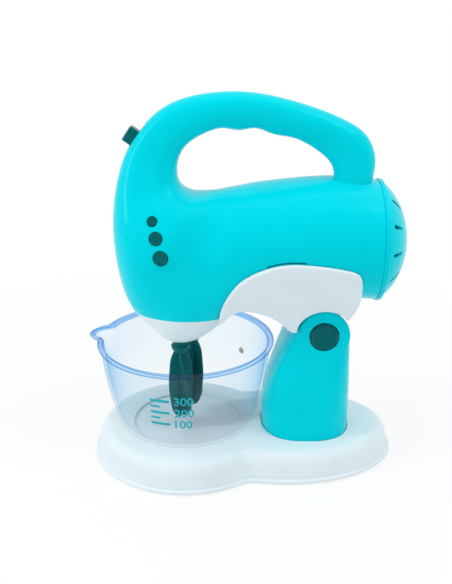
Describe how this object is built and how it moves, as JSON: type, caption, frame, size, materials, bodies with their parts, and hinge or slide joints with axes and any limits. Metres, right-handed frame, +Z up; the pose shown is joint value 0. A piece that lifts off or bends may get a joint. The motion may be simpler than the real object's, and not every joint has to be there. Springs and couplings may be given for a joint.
{
  "type": "toy stand mixer",
  "caption": "Toy stand mixer with a tilting lift-off head, hand grip, twin geared beaters, clear pouring bowl and two-lobed base.",
  "frame": {"origin": "on the ground, under the middle of the bounding box", "axes": "+Z up, +X towards the rear (the domed end and the column), -X towards the bowl and nose, -Y towards the side with the speed buttons"},
  "size_m": [0.1855, 0.113, 0.2165],
  "materials": {
    "turquoise_plastic": "glossy moulded turquoise plastic",
    "white_plastic": "semi-gloss white plastic",
    "teal_plastic": "glossy dark teal plastic",
    "clear_plastic": "clear plastic with a pale blue tint",
    "inner_plastic": "plain grey moulding",
    "gear_plastic": "natural acetal",
    "steel": "zinc-plated steel",
    "brass": "turned brass",
    "rubber": "soft pale grey rubber",
    "circuit_board": "resin board and switch housing",
    "cell_sleeve": "plain dark cell sleeve"
  },
  "bodies": {
    "stand": {"base_shell": "white_plastic", "base_bottom_plate": "white_plastic", "base_feet": "rubber", "base_screws": "steel", "column_near_shell": "turquoise_plastic", "column_far_shell": "turquoise_plastic", "column_screws": "steel", "pivot_pin": "steel", "pivot_button_spring": "steel"},
    "button": {"pivot_button": "teal_plastic"},
    "cradle": {"cradle_arm": "white_plastic"},
    "head": {"head_near_shell": "turquoise_plastic", "head_far_shell": "turquoise_plastic", "head_screws": "steel", "nose_cup": "white_plastic", "rear_cap": "turquoise_plastic", "gearbox_lower_plate": "inner_plastic", "gearbox_upper_plate": "inner_plastic", "reduction_axle": "steel", "motor_can": "steel", "battery_cells": "cell_sleeve", "battery_tray": "inner_plastic", "battery_contacts": "steel", "battery_door": "turquoise_plastic", "switch_body": "circuit_board", "button_board": "circuit_board"},
    "switch": {"switch_slider": "teal_plastic"},
    "key_small": {"speed_button_small": "teal_plastic"},
    "key_medium": {"speed_button_medium": "teal_plastic"},
    "key_large": {"speed_button_large": "teal_plastic"},
    "drive_near": {"beater_gear_near": "gear_plastic", "beater_near": "teal_plastic"},
    "drive_far": {"beater_gear_far": "gear_plastic", "beater_far": "teal_plastic"},
    "reduction": {"reduction_gear": "gear_plastic"},
    "motor_shaft": {"motor_pinion": "brass"},
    "bowl_body": {"bowl": "clear_plastic"}
  },
  "joints": [
    {"name": "cradle_tilt", "type": "hinge", "parent": "stand", "child": "cradle", "pos_m": [0.0468, 0, 0.083], "axis": [0, 1, 0], "range_deg": [0, 45]},
    {"name": "head_lift", "type": "slide", "parent": "cradle", "child": "head", "axis": [0, 0, 1], "range_m": [0, 0.06]},
    {"name": "button_press", "type": "slide", "parent": "stand", "child": "button", "axis": [0, 1, 0], "range_m": [0, 0.0022], "stiffness_N_per_m": 400, "springref_m": -0.001, "deforming": ["pivot_button_spring"]},
    {"name": "power_slide", "type": "slide", "parent": "head", "child": "switch", "axis": [0.5764, 0, 0.8172], "range_m": [0, 0.005]},
    {"name": "small_key_press", "type": "slide", "parent": "head", "child": "key_small", "axis": [0.1474, 0.9866, -0.0698], "range_m": [0, 0.0008], "stiffness_N_per_m": 300, "springref_m": -0.0006},
    {"name": "medium_key_press", "type": "slide", "parent": "head", "child": "key_medium", "axis": [0.1474, 0.9866, -0.0698], "range_m": [0, 0.0008], "stiffness_N_per_m": 300, "springref_m": -0.0006},
    {"name": "large_key_press", "type": "slide", "parent": "head", "child": "key_large", "axis": [0.1474, 0.9866, -0.0698], "range_m": [0, 0.0008], "stiffness_N_per_m": 300, "springref_m": -0.0006},
    {"name": "beater_near_spin", "type": "hinge", "parent": "head", "child": "drive_near", "pos_m": [-0.036, -0.0074, 0.08], "axis": [0, 0, 1], "continuous": true},
    {"name": "beater_far_spin", "type": "hinge", "parent": "head", "child": "drive_far", "pos_m": [-0.03, 0.0074, 0.08], "axis": [0, 0, 1], "continuous": true},
    {"name": "reduction_spin", "type": "hinge", "parent": "head", "child": "reduction", "pos_m": [-0.04357, 0.00693, 0.08], "axis": [0, 0, 1], "continuous": true},
    {"name": "motor_spin", "type": "hinge", "parent": "head", "child": "motor_shaft", "pos_m": [-0.03188, 0.00018, 0.08], "axis": [0, 0, 1], "continuous": true},
    {"name": "bowl_turn", "type": "hinge", "parent": "stand", "child": "bowl_body", "pos_m": [-0.033, 0, 0.017], "axis": [0, 0, 1], "range_deg": [-140, 140]}
  ],
  "couplings": [
    {"joint": "beater_far_spin", "follows": "beater_near_spin", "ratio": -1},
    {"joint": "reduction_spin", "follows": "beater_near_spin", "ratio": 1.4286},
    {"joint": "motor_spin", "follows": "beater_near_spin", "ratio": -4.0816}
  ]
}
